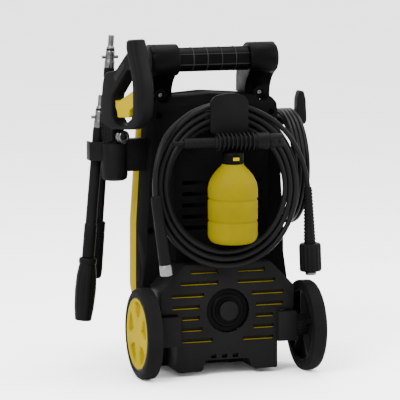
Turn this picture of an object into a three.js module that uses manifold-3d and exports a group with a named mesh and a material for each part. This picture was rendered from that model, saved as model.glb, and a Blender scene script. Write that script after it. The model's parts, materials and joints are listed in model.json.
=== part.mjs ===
// Upright pressure washer seen from behind: shells, wheels, hooks, gun, lances, foam bottle, hose and cable.
// Millimetres. X right as seen from the rear, the rear faces -Y, +Z up, ground at Z = 0, wheel axle at Y = 0.
import * as THREE from 'three';
import { mergeVertices } from 'three/addons/utils/BufferGeometryUtils.js';
import Module from 'manifold-3d';

const wasm = await Module();
wasm.setup();

// ---- driving dimensions ----
const GAP = 0.3;
const WHEEL_R = 80;
const WHEEL_IN = 138;
const WHEEL_OUT = 164;
const AXLE_R = 5;
const AXLE_Z = 80;
const REAR_Y = 60;
const SEAM_Y = 128;
const FRONT_Y = 200;
const WALL = 3.5;
const BODY_BOTTOM = 56;
const TOWER_Y = 22;
const TOWER_X = 85;
const TOWER_TOP = 425;
const GRILLE_Y = -12;
const CAP_Z = 115;
const GRIP_Y = 82;
const GRIP_Z = 550;
const GRIP_R = 21;
const LEG_IN = 68;
const LEG_OUT = 115;
const HOOK_HALF = 34.5;
const FOAM_Y = -38;
const FOAM_Z = 416;
const BOTTLE_R = 43.5;
const GUN_X = -177;
const GUN_Y = 99;
const GUN_TURN = Math.atan2(0.928, 0.371);
const GUN_HALF = 15;
const CUP_X = -174.5;
const CUP_R = 23.5;
const CUP_BOTTOM = 339;
const CUP_TOP = 405;
const HOSE_D = 9;
const COIL_X = -2;
const COIL_Y = -8;
const COIL_Z = 333.5;
const COIL_TILT = 0.103;
const CABLE_D = 7.5;
const CABLE_X = 148.5;
const CABLE_Y = 120;
const CABLE_Z = 350;
const MOTOR_Y = 118;

// ---- colours and finishes ----
const BLACK = [0x2b2b2d, 0.55, 0.0];
const DARK = [0x1d1d1f, 0.6, 0.0];
const RUBBER = [0x232325, 0.85, 0.0];
const YELLOW = [0xd9b50a, 0.4, 0.0];
const STEEL = [0xb9bbbd, 0.3, 1.0];
const CORD = [0x2a2a2c, 0.65, 0.0];

// ---- solids ----
function solid(geometry) {
  const flat = geometry.index ? geometry.toNonIndexed() : geometry;
  const bare = new THREE.BufferGeometry();
  bare.setAttribute('position', flat.attributes.position);
  const merged = mergeVertices(bare, 1e-4);
  const pos = merged.attributes.position.array;
  const tris = [];
  let volume = 0;
  const v = (i) => new THREE.Vector3(pos[3 * i], pos[3 * i + 1], pos[3 * i + 2]);
  for (let i = 0; i < merged.index.count; i += 3) {
    const [a, b, c] = [merged.index.getX(i), merged.index.getX(i + 1), merged.index.getX(i + 2)];
    if (a === b || b === c || a === c) {
      continue;
    }
    tris.push([a, b, c]);
    volume += v(a).dot(v(b).cross(v(c)));
  }
  const order = volume < 0 ? ([a, b, c]) => [a, c, b] : (t) => t;
  const mesh = new wasm.Mesh({
    numProp: 3,
    vertProperties: new Float32Array(pos),
    triVerts: new Uint32Array(tris.map(order).flat()),
  });
  return new wasm.Manifold(mesh);
}

const join = (...parts) => parts.reduce((a, b) => a.add(b));
const cut = (base, ...tools) => tools.reduce((a, b) => a.subtract(b), base);

const group = new THREE.Group();

function node(name, body, [colour, roughness, metalness]) {
  const mesh = body.getMesh();
  const geometry = new THREE.BufferGeometry();
  geometry.setAttribute('position', new THREE.BufferAttribute(new Float32Array(mesh.vertProperties), 3));
  geometry.setIndex(new THREE.BufferAttribute(new Uint32Array(mesh.triVerts), 1));
  const shown = geometry.toNonIndexed();
  shown.computeVertexNormals();
  const material = new THREE.MeshStandardMaterial({ color: colour, roughness, metalness });
  const made = new THREE.Mesh(shown, material);
  made.name = name;
  group.add(made);
}

// A box from its low corner to its high corner.
function block(x0, y0, z0, x1, y1, z1) {
  const box = new THREE.BoxGeometry(x1 - x0, y1 - y0, z1 - z0);
  box.translate((x0 + x1) / 2, (y0 + y1) / 2, (z0 + z1) / 2);
  return solid(box);
}

// Axis matrices: 'x', 'y' and 'z' send the lathe's +Y to that axis.
const AIM = {
  x: new THREE.Matrix4().makeRotationZ(-Math.PI / 2),
  y: new THREE.Matrix4(),
  z: new THREE.Matrix4().makeRotationX(Math.PI / 2),
};

// A turned solid: profile is [radius, height] pairs, starting and ending on the axis.
function turned(profile, axis, x, y, z, sides = 16) {
  const points = profile.map(([r, h]) => new THREE.Vector2(r, h));
  const lathe = new THREE.LatheGeometry(points, sides);
  lathe.applyMatrix4(AIM[axis]);
  lathe.translate(x, y, z);
  return solid(lathe);
}

// A turned tube or ring whose profile closes on itself.
function ring(profile, axis, x, y, z, sides = 16) {
  return turned([...profile, profile[0]], axis, x, y, z, sides);
}

function rod(r, h0, h1, axis, x, y, z, sides = 12) {
  return turned([[0, h0], [r, h0], [r, h1], [0, h1]], axis, x, y, z, sides);
}

// A shape with its corners rounded by r.
function rounded(points, r) {
  const shape = new THREE.Shape();
  const n = points.length;
  points.forEach((p, i) => {
    const here = new THREE.Vector2(...p);
    const back = new THREE.Vector2(...points[(i + n - 1) % n]).sub(here);
    const on = new THREE.Vector2(...points[(i + 1) % n]).sub(here);
    const reach = Math.min(r, back.length() * 0.45, on.length() * 0.45);
    const start = here.clone().add(back.setLength(reach));
    const end = here.clone().add(on.setLength(reach));
    if (i === 0) {
      shape.moveTo(start.x, start.y);
    } else {
      shape.lineTo(start.x, start.y);
    }
    if (r > 0) {
      shape.quadraticCurveTo(here.x, here.y, end.x, end.y);
    }
  });
  shape.closePath();
  return shape;
}

const mirrored = (half) => [...half, ...half.map(([x, z]) => [-x, z]).reverse()];

function extrude(shape, depth, options = {}) {
  return new THREE.ExtrudeGeometry(shape, { depth, bevelEnabled: false, curveSegments: 2, ...options });
}

// A shape drawn in X and Z, pushed along Y.
function slabXZ(shape, y0, y1, options) {
  const made = extrude(shape, y1 - y0, options);
  made.rotateX(Math.PI / 2);
  made.translate(0, y1, 0);
  return solid(made);
}

// A shape drawn in X and Y, pushed along Z.
function slabXY(shape, z0, z1) {
  const made = extrude(shape, z1 - z0);
  made.translate(0, 0, z0);
  return solid(made);
}

const TO_YZ = new THREE.Matrix4().makeBasis(
  new THREE.Vector3(0, 1, 0),
  new THREE.Vector3(0, 0, 1),
  new THREE.Vector3(1, 0, 0),
);

// A shape drawn in Y and Z, pushed along X.
function slabYZ(shape, x0, x1, options) {
  const made = extrude(shape, x1 - x0, options);
  made.applyMatrix4(TO_YZ);
  made.translate(x0, 0, 0);
  return solid(made);
}

// A round cord along a smooth line through points.
function cord(points, diameter, steps) {
  const line = new THREE.CatmullRomCurve3(points.map((p) => new THREE.Vector3(...p)));
  const round = new THREE.Shape();
  round.absarc(0, 0, diameter / 2, 0, 2 * Math.PI);
  const options = { steps, curveSegments: 5, bevelEnabled: false, extrudePath: line };
  return solid(new THREE.ExtrudeGeometry(round, options));
}

// A turned solid set along the line from one point to another.
function aimed(profile, from, to, sides = 10) {
  const points = profile.map(([r, h]) => new THREE.Vector2(r, h));
  const lathe = new THREE.LatheGeometry(points, sides);
  const dir = new THREE.Vector3(...to).sub(new THREE.Vector3(...from)).normalize();
  const turn = new THREE.Quaternion().setFromUnitVectors(new THREE.Vector3(0, 1, 0), dir);
  lathe.applyQuaternion(turn);
  lathe.translate(...from);
  return solid(lathe);
}

// ---- body shells ----
function bodyHalf(inset) {
  return [
    [0, 488 - inset],
    [108 - inset, 482 - inset],
    [114 - inset, 470 - inset],
    [127 - inset, 255],
    [127.5 - inset, 140],
    [116 - inset, BODY_BOTTOM + inset],
  ];
}

function bodyShape(inset) {
  const half = bodyHalf(inset);
  const left = half.slice(1).map(([x, z]) => [-x, z]).reverse();
  return rounded([...half, ...left], 5);
}

const SLOT_H = 7.5;
const slots = [
  [64, 28, 84],
  [84, 47, 85],
  [104, 52, 84],
  [124, 52, 102],
  [144.5, 44, 103],
  [166, 18, 87],
  [186, 19, 68],
];

const grilleHalf = [[78, 199], [122, 155], [122, 112], [92, 112], [92, 8.5], [48, 8.5], [40, 28]];
const cavityHalf = [[76.8, 196], [119, 153.8], [119, 115], [89, 115], [89, 31]];
const linerHalf = [[75, 193], [116.5, 151.5], [116.5, 117], [86.5, 117], [86.5, 34]];

{
  const outer = slabXZ(rounded(mirrored(grilleHalf), 3), GRILLE_Y, REAR_Y - GAP);
  const inner = slabXZ(rounded(mirrored(cavityHalf), 0), GRILLE_Y + 3, REAR_Y);
  let grille = cut(outer, inner);
  for (const side of [-1, 1]) {
    const x0 = side < 0 ? -124 : 90;
    grille = join(grille, block(x0, -24, 57, x0 + 34, 30, 109));
    for (const [z, a, b] of slots) {
      const lo = side < 0 ? -b : a;
      grille = cut(grille, block(lo, GRILLE_Y - 1, z - SLOT_H / 2, lo + b - a, -6, z + SLOT_H / 2));
    }
  }
  for (const x of [-26, -6, 14]) {
    grille = cut(grille, block(x - 5, GRILLE_Y - 1, 31, x + 5, -6, 38));
  }
  grille = cut(grille, rod(39.5, GRILLE_Y - 1, -6, 'y', 0, 0, CAP_Z, 24));
  grille = cut(grille, rod(AXLE_R + GAP, -130, 130, 'x', 0, 0, AXLE_Z));
  node('lower_grille', grille, BLACK);

  let liner = slabXZ(rounded(mirrored(linerHalf), 0), -7, -5.6);
  for (const side of [-1, 1]) {
    for (const [z, a, b] of slots) {
      const lo = side < 0 ? -b : a;
      liner = join(liner, block(lo, -8.7, z - SLOT_H / 2, lo + b - a, -6.5, z - 1));
    }
  }
  liner = cut(liner, rod(40, -12, -4, 'y', 0, 0, CAP_Z, 24));
  node('grille_liner', liner, YELLOW);
}

node('access_cap', turned([
  [0, -20], [15.5, -20], [17.5, -18], [17.5, -11], [25, -11], [28.5, -9.5], [29.5, -7.5], [39, -7], [39, -5.2],
  [0, -5.2],
], 'y', 0, 0, CAP_Z, 24), DARK);

// Hole with a flat floor for a shell screw.
const screwWell = (x, z) => rod(5.5, REAR_Y - 1, REAR_Y + 4.5, 'y', x, 0, z, 16);

{
  const outer = slabXZ(bodyShape(0), REAR_Y, SEAM_Y);
  const tower = block(-TOWER_X, TOWER_Y, 199 + GAP, TOWER_X, REAR_Y + 1, TOWER_TOP);
  let shell = join(outer, tower);
  const slope = rounded([[50, 464], [50, 520], [96, 520], [86, 490]], 0);
  shell = cut(shell, slabYZ(slope, -130, 130));
  shell = cut(shell, slabXZ(bodyShape(WALL), REAR_Y + 32, SEAM_Y + 1));
  shell = cut(shell, block(-108, REAR_Y + 6, 165, 108, REAR_Y + 33, 455));
  shell = cut(shell, block(-88, REAR_Y + 6, 62, 88, REAR_Y + 33, 166));
  shell = cut(shell, block(-TOWER_X + WALL, TOWER_Y + WALL, 203, TOWER_X - WALL, REAR_Y + 7, TOWER_TOP - WALL));
  for (const z of [259, 279, 299, 319, 339]) {
    for (const x of [-73, 8]) {
      shell = cut(shell, block(x, TOWER_Y - 1, z - 3.5, x + 65, TOWER_Y + WALL + 1, z + 3.5));
    }
  }
  for (const side of [-1, 1]) {
    shell = cut(shell, screwWell(103.5 * side, 455), screwWell(119 * side, 251));
    shell = cut(shell, rod(12.5, 50, 106.3, 'y', 92 * side, 0, 487, 20));
    const sided = (half) => rounded(half.map(([x, z]) => [x * side, z]), 0);
    const flare = sided([[118, 215], [126.6, 208], [134, 158], [134, 153], [118, 143]]);
    shell = join(shell, slabXZ(flare, REAR_Y, REAR_Y + 16));
    const arch = sided([[93, 127], [134.5, 154], [150, 154], [150, 50], [93, 50]]);
    shell = cut(shell, slabXZ(arch, REAR_Y - 1, REAR_Y + 16));
  }
  node('rear_shell', shell, BLACK);
}

// Front shell: the same outline as the rear shell, rounded over towards the front face.
function frontSolid(inset, front) {
  const round = { bevelEnabled: true, bevelThickness: 40, bevelSize: 26, bevelSegments: 3 };
  const made = extrude(bodyShape(26 + inset), 40, round);
  made.rotateX(Math.PI / 2);
  made.translate(0, front - 40, 0);
  return solid(made);
}

{
  const behind = block(-200, 0, 0, 200, SEAM_Y + GAP, 600);
  const outer = cut(frontSolid(0, FRONT_Y), behind);
  node('front_shell', cut(outer, frontSolid(WALL, FRONT_Y - WALL)), YELLOW);
}

{
  const face = rounded([[-52, 92], [52, 92], [60, 430], [-60, 430]], 14);
  node('front_panel', slabXZ(face, FRONT_Y + GAP, FRONT_Y + 6), BLACK);
}

const KNOB_Z = 350;
{
  const y0 = FRONT_Y + 6 + GAP;
  const dial = turned([[0, y0], [26, y0], [26, y0 + 5], [24, y0 + 8], [0, y0 + 8]], 'y', 0, 0, KNOB_Z);
  const bar = block(-5, y0 + 7, KNOB_Z - 22, 5, y0 + 18, KNOB_Z + 22);
  node('power_knob', join(dial, bar), YELLOW);
}

{
  const plan = rounded([[-114, 60.3], [114, 60.3], [108, 188], [-108, 188]], 12);
  const room = rounded([[-110, 64], [110, 64], [104, 184], [-104, 184]], 8);
  node('base_tray', cut(slabXY(plan, 8, BODY_BOTTOM - GAP), slabXY(room, 12, BODY_BOTTOM)), BLACK);
}

for (const [side, name] of [[-1, 'left'], [1, 'right']]) {
  node(`foot_${name}`, rod(17, 0, 8 - GAP, 'z', 88 * side, 160, 0), RUBBER);
}

// Water connectors on the lower front: garden-hose inlet and high-pressure outlet.
{
  const y0 = FRONT_Y + 6 + GAP;
  node('water_inlet', ring([
    [7, y0], [15, y0], [15, y0 + 6], [12, y0 + 8], [12, y0 + 20], [13.5, y0 + 22], [13.5, y0 + 28], [7, y0 + 28],
  ], 'y', -26, 0, 140), DARK);
  node('water_outlet', ring([
    [5, y0], [15, y0], [15, y0 + 8], [11, y0 + 8], [11, y0 + 24], [5, y0 + 24],
  ], 'y', 26, 0, 140), STEEL);
}

// ---- carrying handle ----
const legSide = rounded([
  [154, 462], [153, 515], [142, 545], [120, 567], [96, 577], [80, 578], [62, 568], [56, 550], [62, 531],
  [78, 523], [92, 512], [102, 496], [105, 462],
], 6);

for (const [side, name] of [[-1, 'left'], [1, 'right']]) {
  const [x0, x1] = side < 0 ? [-LEG_OUT, -LEG_IN] : [LEG_IN, LEG_OUT];
  const body = slabXZ(bodyShape(-GAP), 50, 160);
  let leg = cut(slabYZ(legSide, x0, x1), body);
  const cap = [[0, 65 + GAP], [27, 65 + GAP], [28, 67], [28, 110], [24, 117], [14, 119.5], [0, 119.5]];
  const profile = cap.map(([r, h]) => [r, h * side]);
  leg = join(leg, turned(profile, 'x', 0, GRIP_Y, GRIP_Z, 24));
  leg = join(leg, rod(12, 90, 105.8, 'y', 92 * side, 0, 487));
  leg = cut(leg, rod(6, 85, 94, 'y', 92 * side, 0, 487, 12));
  node(`handle_leg_${name}`, leg, DARK);
}

{
  const profile = [[0, -65], [GRIP_R, -65]];
  for (let i = 0; i < 4; i += 1) {
    const x = -39 + i * 26;
    profile.push([GRIP_R, x - 1], [GRIP_R + 1, x], [GRIP_R, x + 1]);
  }
  profile.push([GRIP_R, 65], [0, 65]);
  node('handle_grip', turned(profile, 'x', 0, GRIP_Y, GRIP_Z, 16), DARK);
}

// ---- axle and wheels ----
node('axle', rod(AXLE_R, -156, 156, 'x', 0, 0, AXLE_Z), STEEL);

const SPOKES = 5;
for (const [side, name] of [[-1, 'left'], [1, 'right']]) {
  const sided = (profile) => profile.map(([r, x]) => [r, x * side]);
  node(`tyre_${name}`, ring(sided([
    [66, WHEEL_IN], [76, WHEEL_IN], [80, WHEEL_IN + 4], [80, WHEEL_OUT - 6], [75, WHEEL_OUT],
    [66, WHEEL_OUT],
  ]), 'x', 0, 0, AXLE_Z, 32), RUBBER);

  let rim = ring(sided([
    [AXLE_R + 0.08, 125.5], [20, 125.5], [20, 148], [62, 148], [62, WHEEL_IN + 1], [66 - GAP, WHEEL_IN + 1],
    [66 - GAP, WHEEL_OUT - 1], [63, WHEEL_OUT - 1], [63, 152], [AXLE_R + 0.08, 152],
  ]), 'x', 0, 0, AXLE_Z, 24);
  for (let i = 0; i < SPOKES; i += 1) {
    const rib = new THREE.BoxGeometry(9, 7, 50);
    rib.translate(144.5 * side, 0, 37);
    rib.rotateX((i * 2 * Math.PI) / SPOKES);
    rib.translate(0, 0, AXLE_Z);
    rim = join(rim, solid(rib));
  }
  node(`wheel_${name}`, rim, DARK);

  let cover = turned(sided([
    [0, 157], [62.6, 157], [62.6, 162], [58, 163.4], [0, 163.4],
  ]), 'x', 0, 0, AXLE_Z, 24);
  for (let i = 0; i < SPOKES; i += 1) {
    const pocket = extrude(rounded([[-4, 19], [4, 19], [17, 54], [0, 58], [-17, 54]], 0), 6);
    pocket.applyMatrix4(TO_YZ);
    pocket.rotateX((i * 2 * Math.PI) / SPOKES);
    pocket.translate(side < 0 ? -165 : 159, 0, AXLE_Z);
    cover = cut(cover, solid(pocket));
  }
  node(`wheel_cover_${name}`, cover, YELLOW);
}

// ---- hose hook on the rear panel ----
{
  const plate = rounded([
    [-HOOK_HALF, 429], [-HOOK_HALF, 485], [-26, 495], [0, 499], [26, 495], [HOOK_HALF, 485], [HOOK_HALF, 429],
  ], 6);
  const arm = block(-22, -15, 425 + GAP, 22, REAR_Y - GAP, 434.6);
  const tab = block(-14, -20, 402, 14, -14, 432);
  node('hose_hook', join(slabXZ(plate, -20, -14), arm, tab), BLACK);
}

// ---- cable hook on the right side ----
{
  const hook = rounded([
    [118, 414], [122, 414], [122, 425], [184, 425], [187, 432], [185, 470], [181, 485], [173, 485], [169, 470],
    [168.5, 436.5], [122, 436.5], [122, 447], [118, 447],
  ], 3);
  node('cable_hook', slabXZ(hook, 106, 126), BLACK);
}

// ---- gun holster with the lance clips on the left side ----
function lanceAt(lance, z) {
  const [a, b] = lance;
  const t = (a[2] - z) / (a[2] - b[2]);
  return [a[0] + (b[0] - a[0]) * t, a[1], z];
}
const lanceA = [[-189.4, 130, 487], [-225, 130, 85]];
const lanceB = [[-160.4, 165, 589.3], [-192.7, 165, 154.1]];

{
  let holder = turned([
    [0, CUP_BOTTOM], [17, CUP_BOTTOM], [22, CUP_BOTTOM + 3], [CUP_R, CUP_BOTTOM + 9], [CUP_R, CUP_TOP],
    [19, CUP_TOP], [19, CUP_BOTTOM + 6], [0, CUP_BOTTOM + 6],
  ], 'z', CUP_X, GUN_Y, 0, 24);
  const arm = rounded([[-121.8, 355], [-118.3, 412], [-155, 412], [-158, 405], [-158, 355]], 0);
  holder = join(holder, slabXZ(arm, 86, 106));
  const low = 373;
  const high = 404;
  const outerFinger = [[-194, 100], [-216, 112], [-216, 133], [-212.5, 133], [-212.5, 119.5], [-192, 108]];
  holder = join(holder, slabXY(rounded(outerFinger, 0), low, high + 2));
  holder = join(holder, block(-184.8, 112, low, -182, 147, high));
  holder = join(holder, block(-187.3, 146, low, -184.4, 171, high));
  holder = join(holder, block(-166.2, 146, low, -163.4, 171, high));
  holder = join(holder, block(-187.3, 146, low, -163.4, 149, high));
  holder = cut(holder, rod(19, CUP_BOTTOM + 6, CUP_TOP + 10, 'z', CUP_X, GUN_Y, 0, 24));
  node('gun_holster', holder, BLACK);
}

// ---- trigger gun, barrel down in the holster ----
const gunAcross = new THREE.Vector3(Math.cos(GUN_TURN), -Math.sin(GUN_TURN), 0);
const gunUp = new THREE.Vector3(0, 0, 1);
const gunSide = new THREE.Vector3().crossVectors(gunAcross, gunUp);
const TO_GUN = new THREE.Matrix4().makeBasis(gunAcross, gunUp, gunSide);

function gunSlab(shape, half, options) {
  const made = extrude(shape, 2 * half, options);
  made.translate(0, 0, -half);
  made.applyMatrix4(TO_GUN);
  made.translate(GUN_X, GUN_Y, 0);
  return solid(made);
}

// The gun's grip: ovals along a line drawn in the gun's own plane, u towards the rear and z up.
const gripLine = [
  [65.3, 591.5, 9, 12], [65.5, 589, 12, 15.5], [67.5, 578, 13, 17], [72, 562, 13, 17], [79, 541, 13, 17],
  [84.5, 520, 13, 17], [86.5, 500, 13, 17], [86.5, 478, 13, 17], [84, 461, 12.5, 16.5], [76, 449, 10.5, 16],
  [62, 441.5, 8, 15.5],
];

function gripSolid(sides) {
  const points = [];
  const spot = ([u, z]) => new THREE.Vector2(u, z);
  gripLine.forEach((p, i) => {
    const back = spot(gripLine[Math.max(i - 1, 0)]);
    const on = spot(gripLine[Math.min(i + 1, gripLine.length - 1)]);
    const way = on.sub(back).normalize();
    for (let k = 0; k < sides; k += 1) {
      const angle = (2 * Math.PI * k) / sides;
      const out = p[2] * Math.cos(angle);
      points.push([p[0] - way.y * out, p[1] + way.x * out, p[3] * Math.sin(angle)]);
    }
  });
  const index = [];
  for (let i = 0; i < gripLine.length - 1; i += 1) {
    for (let k = 0; k < sides; k += 1) {
      const [a, b] = [i * sides + k, i * sides + ((k + 1) % sides)];
      index.push(a, b, b + sides, a, b + sides, a + sides);
    }
  }
  const last = (gripLine.length - 1) * sides;
  for (let k = 1; k < sides - 1; k += 1) {
    index.push(0, k + 1, k, last, last + k, last + k + 1);
  }
  const made = new THREE.BufferGeometry();
  made.setAttribute('position', new THREE.BufferAttribute(new Float32Array(points.flat()), 3));
  made.setIndex(index);
  made.applyMatrix4(TO_GUN);
  made.translate(GUN_X, GUN_Y, 0);
  return solid(made);
}

{
  const loop = rounded([
    [-15, 407], [-17, 475], [-11, 515], [-4, 530], [26, 536], [60, 571], [78, 560], [82, 540], [86, 500], [86, 470],
    [80, 452], [66, 434.5], [36, 432.5], [22, 431.2], [15, 429.5], [14, 407],
  ], 5);
  const soften = { bevelEnabled: true, bevelThickness: 4, bevelSize: 3, bevelOffset: -3, bevelSegments: 1 };
  const room = rounded([
    [16, 452], [16, 490], [58, 538], [66, 541], [72, 530], [74, 500], [74, 468], [68, 449], [56, 441.5],
    [40, 439.5], [24, 443],
  ], 5);
  let gun = join(gunSlab(loop, GUN_HALF - 4, soften), gripSolid(14));
  gun = cut(gun, gunSlab(room, 30));
  gun = join(gun, rod(15, 352, 412, 'z', GUN_X, GUN_Y, 0));
  node('gun_body', gun, BLACK);

  const lever = rounded([
    [17, 483], [22, 479], [66, 502], [70, 498], [70, 476], [57, 467], [56, 455], [23, 452], [22, 462], [17, 470],
  ], 2);
  node('gun_trigger', gunSlab(lever, 8), YELLOW);

  const from = new THREE.Vector3(GUN_X, GUN_Y, 418.5).addScaledVector(gunAcross, 15.5 + GAP);
  const to = from.clone().add(gunAcross);
  node('gun_inlet', aimed([
    [0, 0], [9, 0], [9, 6], [11, 7], [11, 18], [6, 18], [6, 12], [0, 12],
  ], from.toArray(), to.toArray()), STEEL);
}

// ---- two lances hanging beside the gun ----
const connector = [[0, 0], [5.8, 0.5], [5.8, 20], [7.5, 22], [8.5, 24], [8.5, 44], [9.5, 50], [9.5, 58], [0, 58]];

function lance(name, line, tube, head) {
  const [from, to] = line;
  const along = new THREE.Vector3(...to).sub(new THREE.Vector3(...from)).normalize();
  const crossPin = aimed([[0, -15], [3, -15], [3, 15], [0, 15]], from, [from[0] + 1, from[1], from[2]], 12);
  const pins = crossPin.translate(along.clone().multiplyScalar(39).toArray());
  const turnedPins = join(aimed(connector, from, to), pins);
  node(`lance_${name}_connector`, turnedPins, STEEL);
  node(`lance_${name}_tube`, aimed(tube, from, to), BLACK);
  node(`lance_${name}_nozzle`, aimed(head, from, to, 12), BLACK);
}

lance('a', lanceA, [[0, 58.3], [9.8, 58.3], [9.8, 229], [11.3, 231], [11.3, 290], [0, 290]], [
  [0, 290.3], [14, 290.3], [16, 293], [16, 300], [15, 303], [18, 322], [19, 350], [17.5, 380], [15.5, 396],
  [14.5, 403], [8, 403], [7, 390], [0, 390],
]);
lance('b', lanceB, [[0, 58.3], [9.5, 58.3], [9.5, 76], [8, 80], [8, 333], [0, 333]], [
  [0, 333.3], [11, 333.3], [12, 335], [12, 425], [10.5, 434], [6, 436.4], [5, 428], [0, 428],
]);

// ---- foam nozzle and its bottle, clipped under the hose hook ----
node('foam_inlet', rod(4.5, -109, -89 - GAP, 'x', 0, FOAM_Y, FOAM_Z, 16), DARK);
{
  const profile = [[0, -89], [8, -89], [9, -87], [9, -32], [12, -30]];
  for (let i = 0; i < 9; i += 1) {
    const x = -29 + i * 7.8;
    profile.push([16, x], [16, x + 4.2], [12.5, x + 4.6]);
  }
  profile.push([14.5, 42], [14.5, 64], [0, 64]);
  node('foam_body', turned(profile, 'x', 0, FOAM_Y, FOAM_Z, 12), BLACK);

  let tip = turned([[0, 64 + GAP], [11, 64 + GAP], [13, 70], [12, 92], [7, 92], [7, 78], [0, 78]],
    'x', 0, FOAM_Y, FOAM_Z, 12);
  tip = cut(tip, block(80, FOAM_Y - 20, FOAM_Z - 5, 95, FOAM_Y + 20, FOAM_Z + 5));
  node('foam_tip', tip, BLACK);

  const ribbed = rod(16 + GAP, -32, 66, 'x', 0, FOAM_Y, FOAM_Z, 12);
  const cap = turned([[0, 378 + GAP], [19, 378 + GAP], [19, 396], [17, 399], [12, 404], [0, 404]],
    'z', 0, FOAM_Y, 0, 20);
  node('foam_cap', cut(cap, ribbed), DARK);

  node('foam_bottle', turned([
    [0, 239], [29, 239], [38, 243], [BOTTLE_R, 252], [BOTTLE_R, 276.5], [41.5, 278.5], [BOTTLE_R, 280.5],
    [BOTTLE_R, 314.5], [41.5, 316.5], [BOTTLE_R, 318.5], [BOTTLE_R, 335], [41, 346], [33.5, 360], [20, 375], [18, 378],
    [15, 378], [15, 374], [30, 360], [38, 344], [40, 334], [40, 252], [35.5, 245], [28, 242], [0, 242],
  ], 'z', 0, FOAM_Y, 0, 18), YELLOW);
}

// ---- high-pressure hose: a hank on the hook, and its two hanging ends ----
{
  const hank = new THREE.Shape();
  hank.absellipse(0, 0, 141, 151.3, 0, 2 * Math.PI);
  const eye = new THREE.Path();
  eye.absellipse(0, 1, 101, 105, 0, 2 * Math.PI);
  hank.holes.push(eye);
  const made = extrude(hank, 2 * HOSE_D - 1, { curveSegments: 26 });
  made.rotateX(Math.PI / 2);
  made.translate(0, HOSE_D - 0.5, 0);
  made.rotateX(-COIL_TILT);
  made.translate(COIL_X, COIL_Y, COIL_Z);
  node('hose_coil', solid(made), CORD);
}

const sleeveTop = [-138.6, -34, 326];
const sleeveEnd = [-121.5, -36, 202];
node('hose_sleeve', aimed([[0, 0], [9, 0], [9.4, 4], [10.6, 121], [0, 121]], sleeveTop, sleeveEnd), RUBBER);
node('hose_end', aimed([
  [0, 121.3], [10.5, 121.3], [11, 123], [11, 140.5], [6, 140.5], [6, 131], [0, 131],
], sleeveTop, sleeveEnd), STEEL);
node('hose_tail_left', cord([
  [-138.7, -34, 326.9], [-140.5, -33, 352], [-136, -29, 382], [-124, -21.5, 412], [-103, -14.5, 437],
], HOSE_D, 9), CORD);

const reliefTop = [152, 0, 326];
const reliefEnd = [156, 0, 226];
node('hose_relief', aimed([[0, 0], [6.5, 0], [7.5, 30], [10.5, 97], [10.5, 99.8], [0, 99.8]], reliefTop, reliefEnd),
  RUBBER);
node('hose_nut', aimed([
  [0, 100.1], [13, 100.1], [19, 103], [19, 148], [17.5, 150], [13, 150], [13, 138], [0, 138],
], reliefTop, reliefEnd, 10), BLACK);
node('hose_tip', aimed([
  [0, 138.3], [10, 138.3], [10, 157], [6, 157], [6, 146], [0, 146],
], reliefTop, reliefEnd), STEEL);
node('hose_tail_right', cord([
  [97, -11.5, 434], [122, -14, 412], [140, -9, 380], [149, -3, 350], [151.95, 0, 327],
], HOSE_D, 9), CORD);

// ---- mains cable: a coil on the side hook, its gland and its plug ----
node('cable_coil', ring([
  [88.5, -17], [97, -17.5], [104, -15], [105, 0], [104, 15], [97, 17.5], [88.5, 17],
], 'x', CABLE_X, CABLE_Y, CABLE_Z, 30), CORD);

{
  const boot = turned([[0, 180], [10, 180], [10, 192], [6.5, 196], [5.5, 216], [0, 216]], 'z', 139.5, 150, 0, 20);
  node('cable_gland', join(boot, block(127.5 + GAP, 142, 180, 139.5, 158, 192)), RUBBER);
}
node('cable_tail_gland', cord([
  [139.5, 150, 216.6], [139.4, 150, 222], [137.5, 147.7, 231], [136, 141.2, 240.4],
], CABLE_D, 8), CORD);

const plugTop = [150, 190, 218];
const plugEnd = [150, 190, 150];
{
  let plug = aimed([
    [0, 0], [4.5, 0], [8, 16], [17, 22], [19, 30], [19, 48], [17, 50], [0, 50],
  ], plugTop, plugEnd, 12);
  for (const x of [-9.5, 9.5]) {
    plug = join(plug, rod(2.4, 149, 170, 'z', 150 + x, 190, 0, 10));
  }
  node('plug', plug, DARK);
}
node('cable_tail_plug', cord([
  [150, 190, 218.6], [150, 190.4, 226], [149, 193, 238], [144.5, 202.5, 257], [139, 211, 276], [136, 216, 297],
], CABLE_D, 5), CORD);

// ---- motor and pump inside the shells ----
node('motor_housing', ring([
  [46, 232], [50, 232], [50, 350], [12, 350], [12, 346], [46, 346],
], 'z', 0, MOTOR_Y, 0, 16), STEEL);
node('rotor_shaft', turned([
  [0, 212], [6, 212], [6, 236], [34, 236], [34, 330], [6, 330], [6, 372], [0, 372],
], 'z', 0, MOTOR_Y, 0, 14), STEEL);
node('cooling_fan', ring([
  [6 + GAP, 356], [44, 356], [44, 359], [12, 361], [12, 370], [6 + GAP, 370],
], 'z', 0, MOTOR_Y, 0, 16), BLACK);
node('wobble_plate', turned([[0, 190], [30, 196], [30, 203], [14, 212 - GAP], [0, 212 - GAP]],
  'z', 0, MOTOR_Y, 0, 14), STEEL);
node('pump_head', turned([[0, 96], [38, 96], [44, 106], [44, 178], [0, 178]], 'z', 0, MOTOR_Y, 0, 16), STEEL);
node('switch_box', block(-30, 168, 325, 30, 192, 375), DARK);

// ---- the origin: under the middle of everything but the hose and cable ----
const corded = /^(hose_(?!hook)|cable_(?!hook|gland)|plug)/;
const extent = new THREE.Box3();
for (const part of group.children) {
  if (!corded.test(part.name)) {
    extent.expandByObject(part);
  }
}
const middle = extent.getCenter(new THREE.Vector3());
for (const part of group.children) {
  part.geometry.translate(-middle.x, -middle.y, -extent.min.z);
}

export default group;
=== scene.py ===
import json
import math

import bmesh
import bpy
from mathutils import Matrix, Vector

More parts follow.
